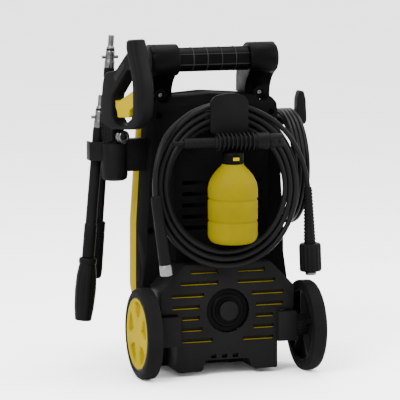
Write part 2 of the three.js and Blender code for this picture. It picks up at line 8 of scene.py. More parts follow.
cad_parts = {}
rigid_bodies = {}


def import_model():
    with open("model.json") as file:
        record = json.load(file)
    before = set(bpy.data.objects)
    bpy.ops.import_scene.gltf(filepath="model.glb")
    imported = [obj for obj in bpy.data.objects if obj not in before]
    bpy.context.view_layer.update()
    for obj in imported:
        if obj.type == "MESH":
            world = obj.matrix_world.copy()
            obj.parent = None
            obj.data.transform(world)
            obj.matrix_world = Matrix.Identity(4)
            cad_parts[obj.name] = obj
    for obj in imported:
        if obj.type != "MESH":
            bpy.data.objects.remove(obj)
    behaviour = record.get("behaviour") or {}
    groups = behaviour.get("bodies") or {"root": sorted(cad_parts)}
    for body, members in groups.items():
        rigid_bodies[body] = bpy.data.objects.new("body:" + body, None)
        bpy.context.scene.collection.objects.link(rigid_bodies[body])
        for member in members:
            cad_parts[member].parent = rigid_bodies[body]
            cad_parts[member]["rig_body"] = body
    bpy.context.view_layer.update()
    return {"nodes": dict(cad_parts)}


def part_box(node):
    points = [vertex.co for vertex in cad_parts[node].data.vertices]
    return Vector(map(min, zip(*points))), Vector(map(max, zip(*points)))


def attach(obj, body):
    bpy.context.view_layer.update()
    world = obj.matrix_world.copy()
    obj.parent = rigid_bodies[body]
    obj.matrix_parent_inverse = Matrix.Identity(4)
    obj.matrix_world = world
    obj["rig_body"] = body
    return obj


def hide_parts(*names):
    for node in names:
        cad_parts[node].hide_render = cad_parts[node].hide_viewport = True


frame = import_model()
nodes = frame["nodes"]

# ---------------------------------------------------------------- the working frame
# Millimetres from the middle of the wheel axle on the ground: X right from behind, Y forwards, Z up.
axle_low, axle_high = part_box("axle")
ORIGIN_X = (axle_low.x + axle_high.x) / 2
ORIGIN_Y = (axle_low.y + axle_high.y) / 2
MM = 0.001


def at(x, y, z):
    return Vector((x * MM + ORIGIN_X, y * MM + ORIGIN_Y, z * MM))


# ---------------------------------------------------------------- camera
CAMERA_AT = (-1606.7, -4944.4, 1039.8)
AZIMUTH, ELEVATION = math.radians(17.5), math.radians(8.0)
SENSOR_MM, LENS_MM = 36.0, 270.0
FARTHEST = 50

camera_data = bpy.data.cameras.new("camera")
camera_data.sensor_width = SENSOR_MM
camera_data.lens = LENS_MM
camera_data.clip_end = FARTHEST
camera = bpy.data.objects.new("camera", camera_data)
level = math.cos(ELEVATION)
look = Vector((math.sin(AZIMUTH) * level, math.cos(AZIMUTH) * level, -math.sin(ELEVATION)))
camera.location = at(*CAMERA_AT)
camera.rotation_euler = look.to_track_quat("-Z", "Y").to_euler()
bpy.context.scene.collection.objects.link(camera)
bpy.context.scene.camera = camera


# ---------------------------------------------------------------- materials
RELIEF_DEPTH = 0.0002
COLOUR_STOPS = (0.35, 0.68)
NOISE_LOW, NOISE_HIGH = 0.3, 0.7
IOR = 1.5


def mix_colour(tree, low, high, fac, stops):
    ramp = tree.nodes.new("ShaderNodeValToRGB")
    ramp.color_ramp.elements[0].color = (*low, 1)
    ramp.color_ramp.elements[1].color = (*high, 1)
    ramp.color_ramp.elements[0].position = stops[0]
    ramp.color_ramp.elements[1].position = stops[1]
    tree.links.new(fac, ramp.inputs["Fac"])
    return ramp.outputs["Color"]


def noise(tree, scale, detail, roughness):
    coords = tree.nodes.new("ShaderNodeTexCoord")
    node = tree.nodes.new("ShaderNodeTexNoise")
    node.inputs["Scale"].default_value = scale
    node.inputs["Detail"].default_value = detail
    node.inputs["Roughness"].default_value = roughness
    tree.links.new(coords.outputs["Object"], node.inputs["Vector"])
    return node.outputs["Fac"]


def span(tree, fac, low, high):
    """A noise's usual range stretched to run from low to high."""
    node = tree.nodes.new("ShaderNodeMapRange")
    node.inputs["From Min"].default_value = NOISE_LOW
    node.inputs["From Max"].default_value = NOISE_HIGH
    node.inputs["To Min"].default_value = low
    node.inputs["To Max"].default_value = high
    tree.links.new(fac, node.inputs["Value"])
    return node.outputs["Result"]


def material(name, low, high, rough, grain, bump, gloss=0.5, metallic=0.0, patches=14.0):
    """Broad patches from low to high in colour, uneven roughness and a fine grain."""
    made = bpy.data.materials.new(name)
    made.use_nodes = True
    tree = made.node_tree
    shader = tree.nodes["Principled BSDF"]
    shader.inputs["Metallic"].default_value = metallic
    shader.inputs["IOR"].default_value = IOR
    shader.inputs["Specular IOR Level"].default_value = gloss
    broad = noise(tree, patches, 4.0, 0.6)
    tree.links.new(mix_colour(tree, low, high, broad, COLOUR_STOPS), shader.inputs["Base Color"])
    uneven = noise(tree, patches * 4, 3.0, 0.6)
    tree.links.new(span(tree, uneven, *rough), shader.inputs["Roughness"])
    fine = noise(tree, grain, 2.0, 0.5)
    relief = tree.nodes.new("ShaderNodeBump")
    relief.inputs["Strength"].default_value = bump
    relief.inputs["Distance"].default_value = RELIEF_DEPTH
    tree.links.new(fine, relief.inputs["Height"])
    tree.links.new(relief.outputs["Normal"], shader.inputs["Normal"])
    return made


def grey(value):
    return (value, value, value * 1.02)


def dark(name, low, high, rough, grain, bump, gloss):
    return material(name, grey(low), grey(high), rough, grain, bump, gloss)


def metal(name, low, high, rough, grain, bump, patches):
    return material(name, grey(low), grey(high), rough, grain, bump, metallic=1.0, patches=patches)


def yellow(name, low, high, rough, grain, bump, gloss):
    return material(name, low, high, rough, grain, bump, gloss, patches=9)


# The colours are far darker than the real plastics, because the render's view transform lightens them.
BLACK = dark("black_plastic", 0.0018, 0.0028, (0.42, 0.55), 1400, 0.25, 0.025)
PANEL = dark("panel_plastic", 0.0017, 0.0025, (0.42, 0.55), 1100, 0.2, 0.0006)
GRILLE = dark("grille_plastic", 0.0027, 0.0038, (0.42, 0.55), 1300, 0.2, 0.02)
INLAY = dark("inlay_plastic", 0.0036, 0.0050, (0.40, 0.52), 1100, 0.2, 0.04)
LINES = dark("grip_lines", 0.0055, 0.0080, (0.45, 0.6), 1100, 0.2, 0.05)
DARK = dark("dark_plastic", 0.0005, 0.0009, (0.40, 0.5), 1500, 0.25, 0.02)
TYRE = dark("tyre_rubber", 0.0022, 0.0036, (0.55, 0.72), 700, 0.35, 0.015)
RUBBER = dark("soft_rubber", 0.0014, 0.0024, (0.50, 0.66), 900, 0.3, 0.03)
HOSE = dark("hose_jacket", 0.0030, 0.0042, (0.30, 0.40), 700, 0.15, 0.03)
CABLE = dark("cable_jacket", 0.0020, 0.0030, (0.34, 0.46), 900, 0.15, 0.05)
# The grille liner's olive is the yellow plastic darkened: painted shade for the liner deep behind the
# slots.
LINER_SHADE = material("liner_painted_shade", (0.0022, 0.0016, 0.0001), (0.0032, 0.0024, 0.0001), (0.45, 0.6), 900, 0.2,
                 0.04)
# The ledges are the yellow plastic made darker than the front shell: painted shade inside the slots.
LEDGE_SHADED = material("ledge_painted_shade", (0.075, 0.058, 0.0002), (0.10, 0.077, 0.0003), (0.45, 0.6), 900, 0.2,
                 0.02)
YELLOW = yellow("yellow_plastic", (0.155, 0.114, 0.0001), (0.180, 0.132, 0.0003), (0.40, 0.52), 1000, 0.12,
                0.003)
BOTTLE = yellow("bottle_plastic", (0.078, 0.061, 0.00002), (0.095, 0.074, 0.00006), (0.36, 0.48), 500, 0.1,
                0.012)
# A darker yellow for the wheel covers' pockets: painted shade in the recesses.
POCKET_SHADE = yellow("pocket_painted_shade", (0.105, 0.078, 0.0001), (0.125, 0.092, 0.0002), (0.40, 0.52), 1000, 0.12,
                0.003)
STEEL = metal("turned_steel", 0.045, 0.085, (0.24, 0.40), 500, 0.12, 60)
SATIN = metal("satin_steel", 0.085, 0.12, (0.30, 0.42), 400, 0.1, 50)
MOTOR = metal("motor_steel", 0.010, 0.016, (0.45, 0.6), 400, 0.1, 50)
WELL = metal("well_screw", 0.0006, 0.0012, (0.40, 0.55), 500, 0.12, 60)
CAST = material("cast_aluminium", (0.42, 0.42, 0.43), (0.56, 0.56, 0.57), (0.45, 0.6), 350, 0.5,
                metallic=1.0)


# ---------------------------------------------------------------- mesh helpers
# Radii under ON_AXIS and corners under SHORTEST_CORNER, both in mm, count as nothing.
ON_AXIS = 0.01
SHORTEST_CORNER = 0.02
STRAIGHT = math.radians(172)
CORNER_STEPS = 3
OUTLINE_STEPS = 6
BEVEL_ANGLE = math.radians(35)
SAME_POINT = 0.00002


def place(name, shape, body, look_as, replaced=()):
    """A piece from a mesh or a curve, with one material, riding a body."""
    piece = bpy.data.objects.new(name, shape)
    bpy.context.scene.collection.objects.link(piece)
    shape.materials.clear()
    shape.materials.append(look_as)
    if replaced:
        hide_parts(*replaced)
    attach(piece, body)
    return piece


def show_node(node, look_as):
    """A material for a CAD node that is shown as it is."""
    nodes[node].data.materials.clear()
    nodes[node].data.materials.append(look_as)


def paint(piece, look_as, chosen):
    """A second material for the faces that chosen(centre, normal) picks."""
    piece.data.materials.append(look_as)
    for face in piece.data.polygons:
        if chosen(face.center, face.normal):
            face.material_index = 1


def shade(mesh, degrees):
    for face in mesh.polygons:
        face.use_smooth = True
    mesh.set_sharp_from_angle(angle=math.radians(degrees))


def freed(bm, name):
    """The mesh that bm holds; bm is freed."""
    mesh = bpy.data.meshes.new(name)
    bm.to_mesh(mesh)
    bm.free()
    return mesh


def applied(piece):
    """The piece's mesh with its modifiers applied."""
    deps = bpy.context.evaluated_depsgraph_get()
    return bpy.data.meshes.new_from_object(piece.evaluated_get(deps))


def with_bevel(mesh, width, segments):
    trial = bpy.data.objects.new("trial", mesh)
    bpy.context.scene.collection.objects.link(trial)
    bevel = trial.modifiers.new("bevel", "BEVEL")
    bevel.width = width * MM
    bevel.segments = segments
    bevel.limit_method = "ANGLE"
    bevel.angle_limit = BEVEL_ANGLE
    bevel.use_clamp_overlap = True
    bevel.harden_normals = False
    bpy.context.view_layer.update()
    made = applied(trial)
    bpy.data.objects.remove(trial)
    return made


def refined(node, look_as, width, segments):
    """A copy of a CAD node with softened edges that stands for it."""
    source = nodes[node]
    bm = bmesh.new()
    bm.from_mesh(source.data)
    bmesh.ops.remove_doubles(bm, verts=bm.verts, dist=SAME_POINT)
    bmesh.ops.dissolve_degenerate(bm, edges=bm.edges, dist=SAME_POINT)
    bmesh.ops.dissolve_limit(bm, angle_limit=math.radians(1), verts=bm.verts, edges=bm.edges)
    mesh = with_bevel(freed(bm, node + "_shape"), width, segments)
    shade(mesh, 40)
    return place(node + "_look", mesh, source["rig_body"], look_as, (node,))


def basis(start, end):
    """A matrix whose +Z runs from start to end, with its origin at start."""
    turn = (end - start).to_track_quat("Z", "X")
    return Matrix.Translation(start) @ turn.to_matrix().to_4x4()


def groove(angle, count, sharpness):
    """1 at count places evenly round a circle, 0 halfway between them."""
    return (0.5 + 0.5 * math.cos(angle * count)) ** sharpness


def clamp(value):
    return min(max(value, 0), 1)


def ease(value):
    """Rises softly from 0 at 0 to 1 at 1 and is level outside."""
    share = clamp(value)
    return share * share * (3 - 2 * share)


def lathe_mesh(name, profile, matrix, sides=64, wave=None, degrees=38):
    """Turns [radius, height] pairs in mm about the matrix's Z axis.

    wave(angle, radius, height) gives the radius there. A profile that starts off the axis closes up.
    """
    bm = bmesh.new()
    rings = []
    for radius, height in profile:
        if radius < ON_AXIS:
            rings.append([bm.verts.new(matrix @ Vector((0, 0, height * MM)))])
            continue
        ring = []
        for i in range(sides):
            angle = 2 * math.pi * i / sides
            r = radius if wave is None else wave(angle, radius, height)
            p = Vector((r * MM * math.cos(angle), r * MM * math.sin(angle), height * MM))
            ring.append(bm.verts.new(matrix @ p))
        rings.append(ring)
    closed = profile[0][0] >= ON_AXIS
    pairs = list(zip(rings, rings[1:] + ([rings[0]] if closed else [])))
    for low, high in pairs:
        if len(low) == 1 and len(high) == 1:
            continue
        for i in range(sides):
            j = (i + 1) % sides
            if len(low) == 1:
                bm.faces.new((low[0], high[j], high[i]))
            elif len(high) == 1:
                bm.faces.new((low[i], low[j], high[0]))
            else:
                bm.faces.new((low[i], low[j], high[j], high[i]))
    bmesh.ops.recalc_face_normals(bm, faces=bm.faces)
    mesh = freed(bm, name)
    shade(mesh, degrees)
    return mesh


def arc(start, corner, end, steps):
    """Points from start to end on a curve that bends towards corner."""
    shares = [k / steps for k in range(steps + 1)]
    return [start * (1 - t) ** 2 + corner * 2 * t * (1 - t) + end * t ** 2 for t in shares]


def soft_profile(profile, radius=0.8):
    """The profile with its corners rounded."""
    made = [profile[0]]
    for before, here, after in zip(profile, profile[1:], profile[2:]):
        corner = Vector(here)
        a = Vector(before) - corner
        b = Vector(after) - corner
        reach = min(radius, a.length * 0.45, b.length * 0.45)
        if reach < SHORTEST_CORNER or a.angle(b, math.pi) > STRAIGHT:
            made.append(here)
            continue
        bend = arc(corner + a.normalized() * reach, corner, corner + b.normalized() * reach, CORNER_STEPS)
        made += [(p.x, p.y) for p in bend]
    made.append(profile[-1])
    return made


def turned(name, profile, matrix, body, look_as, replaced=(), sides=64, wave=None, soft=0.8,
           degrees=38):
    shape = soft_profile(profile, soft) if soft else profile
    mesh = lathe_mesh(name, shape, matrix, sides, wave, degrees)
    return place(name, mesh, body, look_as, replaced)


def box_mesh(name, x0, y0, z0, x1, y1, z1, width=1.0, matrix=None, segments=3):
    """A box with rounded edges, in the working frame or in the matrix's own frame."""
    bm = bmesh.new()
    bmesh.ops.create_cube(bm, size=1.0)
    for v in bm.verts:
        p = Vector([a + (c + 0.5) * (b - a) for a, b, c in zip((x0, y0, z0), (x1, y1, z1), v.co)])
        v.co = at(*p) if matrix is None else matrix @ (p * MM)
    mesh = with_bevel(freed(bm, name), width, segments)
    shade(mesh, 40)
    return mesh


def joined(name, meshes):
    bm = bmesh.new()
    for mesh in meshes:
        bm.from_mesh(mesh)
    made = freed(bm, name)
    shade(made, 38)
    return made


def add_line(curve, points):
    spline = curve.splines.new("POLY")
    spline.points.add(len(points) - 1)
    for knot, p in zip(spline.points, points):
        knot.co = (*p, 1)
    return spline


def tube_curve(name, points, diameter, body, look_as, replaced, resolution):
    curve = bpy.data.curves.new(name, "CURVE")
    curve.dimensions = "3D"
    add_line(curve, points)
    curve.bevel_depth = diameter / 2
    curve.bevel_resolution = resolution
    curve.use_fill_caps = True
    return place(name, curve, body, look_as, replaced)


def catmull(points, per):
    """A smooth line through points, in per steps from each to the next."""
    made = []
    ends = [points[0] * 2 - points[1]] + points + [points[-1] * 2 - points[-2]]
    for i in range(1, len(ends) - 2):
        a, b, c, d = ends[i - 1:i + 3]
        for k in range(per):
            t = k / per
            made.append(0.5 * (2 * b + (c - a) * t + (2 * a - 5 * b + 4 * c - d) * t * t
                               + (3 * b - 3 * c + d - a) * t ** 3))
    made.append(points[-1])
    return made


def smooth_line(points, passes):
    for _ in range(passes):
        middle = [(a + b * 2 + c) / 4 for a, b, c in zip(points, points[1:], points[2:])]
        points = [points[0], *middle, points[-1]]
    return points


def spaced(points, step):
    """Points an even step apart along a line, both ends kept."""
    made = [points[0]]
    left = step
    for a, b in zip(points, points[1:]):
        part = (b - a).length
        while part >= left:
            a = a + (b - a) * (left / part)
            part -= left
            made.append(a)
            left = step
        left -= part
    if (made[-1] - points[-1]).length > step * 0.3:
        made.append(points[-1])
    else:
        made[-1] = points[-1]
    return made


# ---------------------------------------------------------------- high-pressure hose
HOSE_D = 9.0
COIL_X, COIL_Y, COIL_Z = -2, -8, 333.5
COIL_HALF_WIDTH, COIL_HALF_HEIGHT = 105.7, 109.7
COIL_WIDER, COIL_TALLER = 30.6, 36.9
COIL_LEAN, COIL_RISE = 0.103, 0.9947
COIL_START, COIL_END = math.radians(120), math.radians(62 - 6 * 360)
COIL_STEPS = 300
LAYER_CHANGE = 0.46


def coil_point(angle, out, layer):
    """A point of the coil: out runs from 0 on its smallest loop to 1 on its largest."""
    up = (1 - out) + (COIL_HALF_HEIGHT + COIL_TALLER * out) * math.sin(angle)
    aside = (COIL_HALF_WIDTH + COIL_WIDER * out) * math.cos(angle)
    return at(COIL_X + aside, COIL_Y + layer + COIL_LEAN * up, COIL_Z + COIL_RISE * up)


def hose_line():
    """About six turns: inwards in the layer next to the body, then outwards in the layer behind it."""
    line = []
    for i in range(COIL_STEPS + 1):
        t = i / COIL_STEPS
        layer = HOSE_D / 2 - HOSE_D * ease((t - LAYER_CHANGE) / 0.08)
        line.append(coil_point(COIL_START + (COIL_END - COIL_START) * t, abs(2 * t - 1), layer))
    lead = [at(-138.6, -34, 326), at(-138.7, -34, 330), at(-140.5, -33, 352), at(-136, -29, 382),
            at(-124, -20, 412), at(-107, -8, 436)]
    tail = [at(88, -3, 447), at(112, -6.5, 424), at(131, -7, 394), at(144, -4, 362), at(150.5, -1, 338),
            at(151.95, 0, 327)]
    whole = catmull(lead + [line[0]], 6)[:-1] + line + catmull([line[-1]] + tail, 6)[1:]
    return spaced(smooth_line(spaced(whole, 0.006), 20), 0.012)


hose_points = hose_line()
hose = tube_curve("hose", hose_points, HOSE_D * MM, "machine", HOSE,
                  ("hose_coil", "hose_tail_left", "hose_tail_right"), 6)

sleeve_matrix = basis(at(-138.6, -34, 326), at(-121.5, -36, 202))


def sleeve_wave(angle, radius, height):
    return radius + (0.25 * math.sin(height * 2 * math.pi / 6.0) if 6 < height < 40 else 0)


sleeve_profile = [(0, 0), (6.5, 0), (8.8, 2)]
sleeve_profile += [(9 + 1.6 * (h / 121.0), h) for h in range(5, 119, 3)]
sleeve_profile += [(10.6, 120.2), (9.9, 121), (0, 121)]
hose_sleeve = turned("hose_sleeve_look", sleeve_profile, sleeve_matrix, "machine", RUBBER,
                     ("hose_sleeve",), sides=48, wave=sleeve_wave, soft=0.4)
end_profile = [(0, 121.3), (10.2, 121.3), (10.2, 122.8), (11, 123.6), (11, 139.4), (10.3, 140.5),
               (6.5, 140.5), (6, 139.8), (6, 128), (0, 128)]
hose_end = turned("hose_end_look", end_profile, sleeve_matrix, "machine", SATIN, ("hose_end",),
                  soft=0.3)

relief_matrix = basis(at(152, 0, 326), at(156, 0, 226))
relief_profile = [(0, 0), (5.6, 0), (6.5, 1.5)]
for i in range(15):
    h = 4 + i * 6.2
    r = 6.6 + 3.6 * (h / 100.0)
    relief_profile += [(r, h), (r + 0.9, h + 1.0), (r + 0.9, h + 3.6), (r, h + 4.6)]
relief_profile += [(10.4, 98), (10.4, 99.8), (0, 99.8)]
hose_relief = turned("hose_relief_look", relief_profile, relief_matrix, "machine", RUBBER,
                     ("hose_relief",), sides=40, soft=0.3)


def grip_wave(angle, radius, height):
    if radius < 15 or not 102 < height < 149.9:
        return radius
    return radius - 1.6 * groove(angle, 14, 3)


nut_profile = [(0, 100.1), (12, 100.1), (17.4, 100.7), (19.2, 103), (19.6, 106), (19.6, 147.4),
               (18.9, 149.6), (17.6, 150.2), (13.2, 150), (13, 149), (13, 138), (0, 138)]
hose_nut = turned("hose_nut_look", nut_profile, relief_matrix, "hose_nut", BLACK,
                  ("hose_nut",), sides=96, wave=grip_wave)
hose_tip_profile = [(0, 138.3), (10, 138.3), (10, 149), (8.8, 150), (8.8, 152), (10, 153), (10, 156.2),
                    (9.4, 157), (6.5, 157), (6, 156.2), (6, 146), (0, 146)]
hose_tip = turned("hose_tip_look", hose_tip_profile, relief_matrix, "machine", STEEL,
                  ("hose_tip",), sides=48, soft=0.3)

# ---------------------------------------------------------------- mains cable
CABLE_D = 7.5
GLAND_X, GLAND_Y, GLAND_BEND = 139.5, 150, 30
REEL_Y, REEL_Z = 120.0, 350.0
REEL_NEAR, REEL_FAR = 134.8, 163.9
REEL_START, REEL_END = math.radians(-90), math.radians(10 - 8 * 360)
REEL_STEPS = 350
OUTWARD_TURNS, INWARD_TURNS = 3.9, 3.822
PLUG_X, PLUG_Y = 150, 190


def cable_line():
    """A bend up from the gland, turns away from the body, turns back inside them, then the plug's tail."""
    line = [at(GLAND_X, GLAND_Y, 216.3)]
    for k in range(13):
        t = k / 12
        turn = math.pi / 2 * t
        ahead, rise = GLAND_BEND * math.cos(turn), GLAND_BEND * math.sin(turn)
        line.append(at(GLAND_X - 4.7 * ease(t), REEL_Y + ahead, 219.2 + rise))
    for i in range(1, REEL_STEPS + 1):
        turns = (REEL_START - REEL_END) * i / REEL_STEPS / (2 * math.pi)
        angle = REEL_START - 2 * math.pi * turns
        if turns < OUTWARD_TURNS:
            x = REEL_NEAR + 29.1 * turns / OUTWARD_TURNS
        else:
            x = REEL_FAR - 29.6 * (turns - OUTWARD_TURNS) / INWARD_TURNS
        radius = 100.8 - 8.2 * ease((turns - 3.83) / 0.14)
        line.append(at(x, REEL_Y + radius * math.cos(angle), REEL_Z + radius * math.sin(angle)))
    tail = [at(134.3, 213.5, 345), at(134.3, 215.5, 322), at(134.8, 216, 300), at(138, 212, 278),
            at(144, 203, 257), at(148.5, 194, 240), at(PLUG_X, PLUG_Y, 230), at(PLUG_X, PLUG_Y, 218.3)]
    whole = line + catmull([line[-1]] + tail, 6)[1:]
    return spaced(smooth_line(spaced(whole, 0.005), 12), 0.010)


cable_points = cable_line()
cable = tube_curve("mains_cable", cable_points, CABLE_D * MM, "machine", CABLE,
                   ("cable_coil", "cable_tail_gland", "cable_tail_plug"), 5)
plug_matrix = basis(at(PLUG_X, PLUG_Y, 218), at(PLUG_X, PLUG_Y, 150))
plug_profile = [(0, 0), (4.4, 0), (4.8, 2), (5.4, 5), (5.0, 6), (6.0, 9), (5.6, 10), (6.8, 13), (8, 16),
                (13, 19.5), (17, 22), (18.6, 26), (19, 30), (19, 46), (18.2, 49), (17, 50), (0, 50)]


def plug_wave(angle, radius, height):
    if height < 24 or height > 47:
        return radius
    return radius - 1.4 * groove(angle, 2, 8)


plug = turned("plug_look", plug_profile, plug_matrix, "machine", DARK, ("plug",),
              wave=plug_wave)
for i, x in enumerate((-9.5, 9.5)):
    pin_matrix = basis(at(PLUG_X + x, PLUG_Y, 170), at(PLUG_X + x, PLUG_Y, 149))
    pin_profile = [(0, 0), (2.4, 0), (2.4, 19.5), (1.6, 21), (0, 21)]
    turned(f"plug_pin_{i + 1}", pin_profile, pin_matrix, "machine", STEEL, sides=20,
                       soft=0.4)

# ---------------------------------------------------------------- shells
FRONT_Y = 206.3
HOOD_Z = 0.455
CAP_Z, CAP_RECESS = 115, 0.0178

refined("lower_grille", GRILLE, 1.2, 2)
refined("rear_shell", PANEL, 1.2, 2)
front = refined("front_shell", YELLOW, 0.8, 2)
# The top of the front shell has the rear shell's colour, apart from its front edge.
hood_end = at(0, 175, 0).y
paint(front, PANEL, lambda centre, normal: centre.z > HOOD_Z and normal.z > 0.5 and centre.y < hood_end)
refined("front_panel", BLACK, 1.6, 3)
refined("base_tray", BLACK, 1.5, 2)
refined("hose_hook", BLACK, 1.6, 3)
refined("cable_hook", BLACK, 3.0, 4)
refined("gun_holster", BLACK, 0.9, 2)


def knob_wave(angle, radius, height):
    return radius - (0.7 * groove(angle, 24, 2) if radius > 25.5 else 0)


knob_matrix = basis(at(0, FRONT_Y, 350), at(0, FRONT_Y + 10, 350))
dial_profile = [(0, 0), (25, 0), (26, 0.8), (26, 5), (24.6, 7.2), (23.4, 8), (0, 8)]
dial = lathe_mesh("dial", dial_profile, knob_matrix, 144, knob_wave)
bar = box_mesh("bar", -5, 213.5, 328, 5, 224.3, 372, 1.4)
place("power_knob_look", joined("power_knob_look", [dial, bar]), "power_knob", YELLOW,
      ("power_knob",))

cap_matrix = basis(at(0, -5.2, CAP_Z), at(0, -25, CAP_Z))
cap_profile = [(0, 0), (39, 0), (39, 1.8), (30, 2.4), (29.6, 4.6), (28, 6.2), (24, 6.4), (22.5, 5.4),
               (18.2, 5.4), (17.6, 12.5), (15.5, 14.8), (0, 14.8)]
# The cap takes the darkest plastic, its own black deepened as painted shade of its recessed rings; its
# raised middle gets the lighter grille plastic.
cap = turned("access_cap_look", cap_profile, cap_matrix, "machine", DARK, ("access_cap",),
             sides=96)
paint(cap, GRILLE,
      lambda centre, normal: math.hypot(centre.x - ORIGIN_X, centre.z - CAP_Z * MM) < CAP_RECESS)

SIDES = ((-1, "left"), (1, "right"))
foot_profile = [(0, 0), (16, 0), (17, 3), (16.4, 6.7), (15, 7.7), (0, 7.7)]
for side, name in SIDES:
    foot_matrix = basis(at(88 * side, 160, 7.7), at(88 * side, 160, 0))
    turned(f"foot_{name}_look", foot_profile, foot_matrix, "machine", RUBBER,
           (f"foot_{name}",), sides=48)


def screw(name, x, y, z, radius, look_as):
    """A screw's head with its recess, looking to the rear."""
    profile = [(0, 0), (radius, 0), (radius, 1.2), (radius * 0.8, 2.2), (radius * 0.36, 2.5),
               (radius * 0.3, 1.0), (0, 0.8)]
    turned(name, profile, basis(at(x, y, z), at(x, y - 10, z)), "machine", look_as, sides=24,
           soft=0.2)


# Screws in their wells on the rear shell and on the handle's feet.
WELLS = (("top", 103.5, 455), ("mid", 119, 251))
rim_profile = [(5.2, 0), (7.4, 0), (7.2, 0.5), (5.2, 0.4)]
for side, name in SIDES:
    for level, x, z in WELLS:
        screw(f"shell_screw_{level}_{name}", x * side, 64.4, z, 4.2, WELL)
    screw(f"handle_screw_{name}", 92 * side, 93.9, 487, 4.6, STEEL)
    for level, x, z in WELLS:
        turned(f"well_rim_{level}_{name}", rim_profile, basis(at(x * side, 60.1, z), at(x * side, 50, z)),
               "machine", DARK, sides=32, soft=0)

# Water connectors on the front.
inlet_matrix = basis(at(-26, FRONT_Y, 140), at(-26, FRONT_Y + 28, 140))
inlet_profile = [(7, 0), (15, 0), (15, 6), (12, 8), (12, 12), (11, 12.5), (11, 15), (12, 15.5), (12, 20),
                 (13.5, 22), (13.5, 28), (7, 28)]
turned("water_inlet_look", inlet_profile, inlet_matrix, "machine", BLACK, ("water_inlet",),
       sides=48, soft=0.5)
outlet_matrix = basis(at(26, FRONT_Y, 140), at(26, FRONT_Y + 24, 140))
thread = [(5, 0), (15, 0), (15, 8), (10.3, 8.3)]
for i in range(9):
    thread += [(10.3, 9 + i * 1.5), (11, 9.7 + i * 1.5)]
thread += [(10.3, 23), (9.6, 24), (5, 24)]
turned("water_outlet_look", thread, outlet_matrix, "machine", STEEL, ("water_outlet",), sides=48,
       soft=0)

# ---------------------------------------------------------------- carrying handle
BAR_Y, BAR_Z, BAR_LENGTH = 82, 550, 129.6
BAR_RADIUS, RIDGE_HEIGHT = 20.6, 1.3
RIDGE_TOP = 0.0213

refined("handle_leg_left", DARK, 1.4, 3)
refined("handle_leg_right", DARK, 1.4, 3)


def grid_mesh(name, rows, columns, point):
    """Rings of points from point(share of the way, angle), joined into a tube with filled ends."""
    bm = bmesh.new()
    angles = [2 * math.pi * c / columns for c in range(columns)]
    grid = [[bm.verts.new(point(r / (rows - 1), angle)) for angle in angles] for r in range(rows)]
    for r in range(rows - 1):
        for c in range(columns):
            d = (c + 1) % columns
            bm.faces.new((grid[r][c], grid[r][d], grid[r + 1][d], grid[r + 1][c]))
    bm.faces.new(grid[0])
    bm.faces.new(list(reversed(grid[-1])))
    bmesh.ops.recalc_face_normals(bm, faces=bm.faces)
    mesh = freed(bm, name)
    shade(mesh, 50)
    return mesh


def ridge(distance):
    """1 near a line, falling to 0 beside it; distances in mm."""
    return clamp((0.6 + 0.7 - abs(distance)) / 0.7)


def handle_point(t, angle):
    """The sleeve's surface: four rings round it and seven ribs along it."""
    x = BAR_LENGTH * (t - 0.5)
    ring = min(abs(x - (26 * i - 39)) for i in range(4))
    step = 2 * math.pi / 7
    off = (angle - math.radians(151)) % step
    rib = min(off, step - off) * 21
    r = BAR_RADIUS + RIDGE_HEIGHT * max(ridge(ring), ridge(rib))
    return at(x, BAR_Y + r * math.cos(angle), BAR_Z + r * math.sin(angle))


grip_mesh = grid_mesh("handle_grip_look", 221, 200, handle_point)
grip = place("handle_grip_look", grip_mesh, "machine", DARK, ("handle_grip",))
grip_axis = at(0, BAR_Y, BAR_Z)
paint(grip, LINES,
      lambda centre, normal: math.hypot(centre.y - grip_axis.y, centre.z - grip_axis.z) > RIDGE_TOP)

# ---------------------------------------------------------------- wheels
AXLE_Z = 80.0
TREAD_RADIUS = 79.2
COVER_RADIUS, COVER_OUT = 62.6, 163.0
COVER_EDGE = 0.985
SPOKE = 2 * math.pi / 5
POCKET_X, POCKET_RADIUS = 0.1606, 0.060

show_node("axle", STEEL)


def tread(angle, radius, height):
    if radius < TREAD_RADIUS:
        return radius
    return radius - 0.5 * groove(angle, 60, 4) * (1 if 143 < height < 157 else 0.2)


def hub_ribs(angle, radius, height):
    return radius - (0.9 * groove(angle, 20, 3) if radius > 20.3 else 0)


def cover_point(t, angle):
    """The cover's outer face from its centre out, with five pockets. The last ring is the rim's back."""
    if t > COVER_EDGE:
        return Vector((COVER_RADIUS * MM * math.cos(angle), COVER_RADIUS * MM * math.sin(angle),
                       157.2 * MM))
    r = max(COVER_RADIUS * t / COVER_EDGE, 0.3)
    off = (angle - math.pi / 2 + SPOKE / 2) % SPOKE - SPOKE / 2
    half = math.radians(24) * clamp((r - 17) / 20)
    along = clamp((r - 18) / 6) * clamp((57.0 - r) / 3.0)
    depth = 5.0 * ease((half - abs(off)) * r / 5.0) * along
    rim = (0.6 if r > 58.5 else 0) - (1.2 if r > 61.8 else 0) - (0.4 if 8.5 < r < 9.4 else 0)
    return Vector((r * MM * math.cos(angle), r * MM * math.sin(angle), (COVER_OUT - depth + rim) * MM))


# The recessed pocket faces, which get the painted shade.
def in_shaded_pocket(centre, normal):
    r = math.hypot(centre.y - ORIGIN_Y, centre.z - AXLE_Z * MM)
    return abs(centre.x - ORIGIN_X) < POCKET_X and r < POCKET_RADIUS


